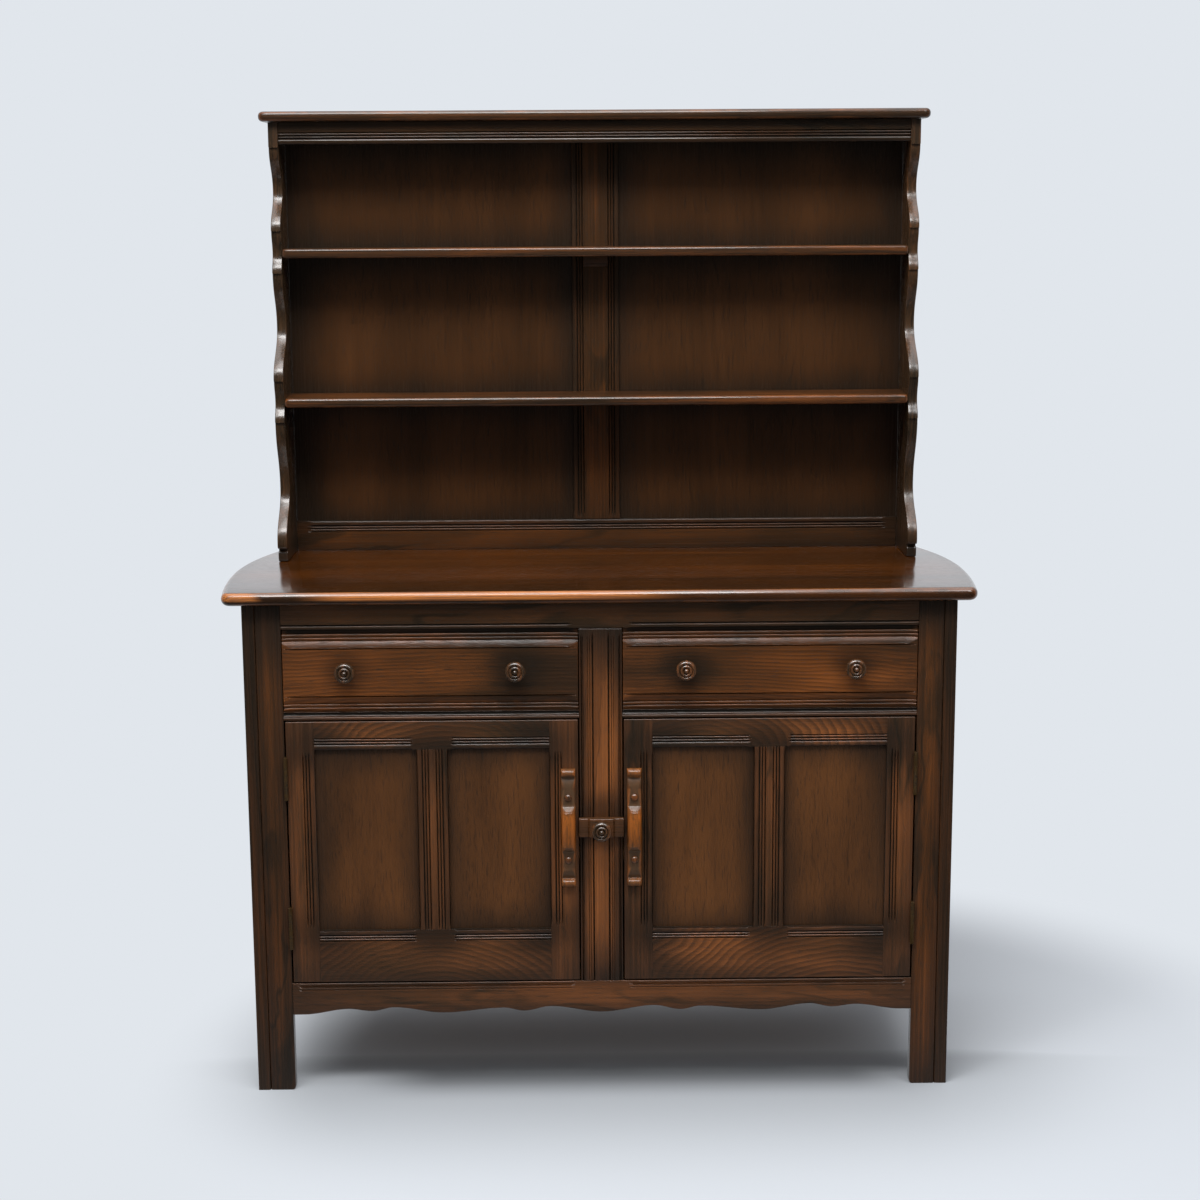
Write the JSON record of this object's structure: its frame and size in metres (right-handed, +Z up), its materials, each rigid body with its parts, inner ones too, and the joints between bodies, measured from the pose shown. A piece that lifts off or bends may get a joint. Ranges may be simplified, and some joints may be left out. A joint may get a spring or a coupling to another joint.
{
  "type": "welsh dresser",
  "caption": "Dark wooden cupboard base with drawers above panelled doors, a turn-button latch, and an open plate rack with scrolled sides standing on its worktop.",
  "frame": {"origin": "on the floor, under the centre of the bounding box", "axes": "+X to the right of someone facing the doors, +Y to the back of the dresser, +Z up"},
  "size_m": [1.22, 0.4686, 1.59],
  "materials": {
    "worktop_wood": "dark stained elm, polished, with a satin sheen",
    "frame_wood": "dark stained elm, satin lacquer, worn warmer on the edges",
    "panel_wood": "dark stained elm board, satin lacquer, shaded darker towards its border",
    "turned_wood": "dark stained turned and shaped wood, satin, worn orange where it is gripped",
    "drawer_wood": "plain unstained drawer lining",
    "carcass_wood": "plain inside wood, thinly stained",
    "hinge_brass": "dulled dark brass"
  },
  "bodies": {
    "carcass": {"worktop": "worktop_wood", "front_top_rail": "frame_wood", "front_muntin": "frame_wood", "front_bottom_rail": "frame_wood", "front_left_stile": "frame_wood", "front_right_stile": "frame_wood", "left_drawer_rail": "frame_wood", "right_drawer_rail": "frame_wood", "left_end_frame": "frame_wood", "right_end_frame": "frame_wood", "rack_left_side": "frame_wood", "rack_right_side": "frame_wood", "rack_lower_shelf": "frame_wood", "rack_upper_shelf": "frame_wood", "rack_bottom_rail": "frame_wood", "rack_muntin": "frame_wood", "rack_top_board": "frame_wood", "rack_frieze": "frame_wood", "rack_shelf_block": "frame_wood", "left_end_panel": "panel_wood", "right_end_panel": "panel_wood", "rack_left_back_panel": "panel_wood", "rack_right_back_panel": "panel_wood", "drawer_runner_frame": "carcass_wood", "base_back_panel": "carcass_wood", "bottom_board": "carcass_wood", "cupboard_shelf": "carcass_wood", "left_door_lower_hinge_frame_leaf": "hinge_brass", "left_door_upper_hinge_frame_leaf": "hinge_brass", "right_door_lower_hinge_frame_leaf": "hinge_brass", "right_door_upper_hinge_frame_leaf": "hinge_brass"},
    "left_drawer": {"left_drawer_front": "frame_wood", "left_drawer_left_knob": "turned_wood", "left_drawer_right_knob": "turned_wood", "left_drawer_back": "drawer_wood", "left_drawer_bottom": "drawer_wood", "left_drawer_left_side": "drawer_wood", "left_drawer_right_side": "drawer_wood"},
    "right_drawer": {"right_drawer_front": "frame_wood", "right_drawer_left_knob": "turned_wood", "right_drawer_right_knob": "turned_wood", "right_drawer_back": "drawer_wood", "right_drawer_bottom": "drawer_wood", "right_drawer_left_side": "drawer_wood", "right_drawer_right_side": "drawer_wood"},
    "left_door": {"left_door_frame": "frame_wood", "left_door_inner_panel": "panel_wood", "left_door_outer_panel": "panel_wood", "left_door_pull": "turned_wood", "left_door_lower_hinge_door_leaf": "hinge_brass", "left_door_upper_hinge_door_leaf": "hinge_brass"},
    "right_door": {"right_door_frame": "frame_wood", "right_door_inner_panel": "panel_wood", "right_door_outer_panel": "panel_wood", "right_door_pull": "turned_wood", "right_door_lower_hinge_door_leaf": "hinge_brass", "right_door_upper_hinge_door_leaf": "hinge_brass"},
    "latch": {"latch_bar": "frame_wood", "latch_knob": "turned_wood"}
  },
  "joints": [
    {"name": "left_drawer_slide", "type": "slide", "parent": "carcass", "child": "left_drawer", "axis": [0, -1, 0], "range_m": [0, 0.3]},
    {"name": "right_drawer_slide", "type": "slide", "parent": "carcass", "child": "right_drawer", "axis": [0, -1, 0], "range_m": [0, 0.3]},
    {"name": "left_door_swing", "type": "hinge", "parent": "carcass", "child": "left_door", "pos_m": [-0.50575, -0.1982, 0.405], "axis": [0, 0, -1], "range_deg": [0, 170]},
    {"name": "right_door_swing", "type": "hinge", "parent": "carcass", "child": "right_door", "pos_m": [0.50575, -0.1982, 0.405], "axis": [0, 0, 1], "range_deg": [0, 170]},
    {"name": "latch_turn", "type": "hinge", "parent": "carcass", "child": "latch", "pos_m": [0, -0.1947, 0.446], "axis": [0, -1, 0], "range_deg": [-90, 90]}
  ]
}
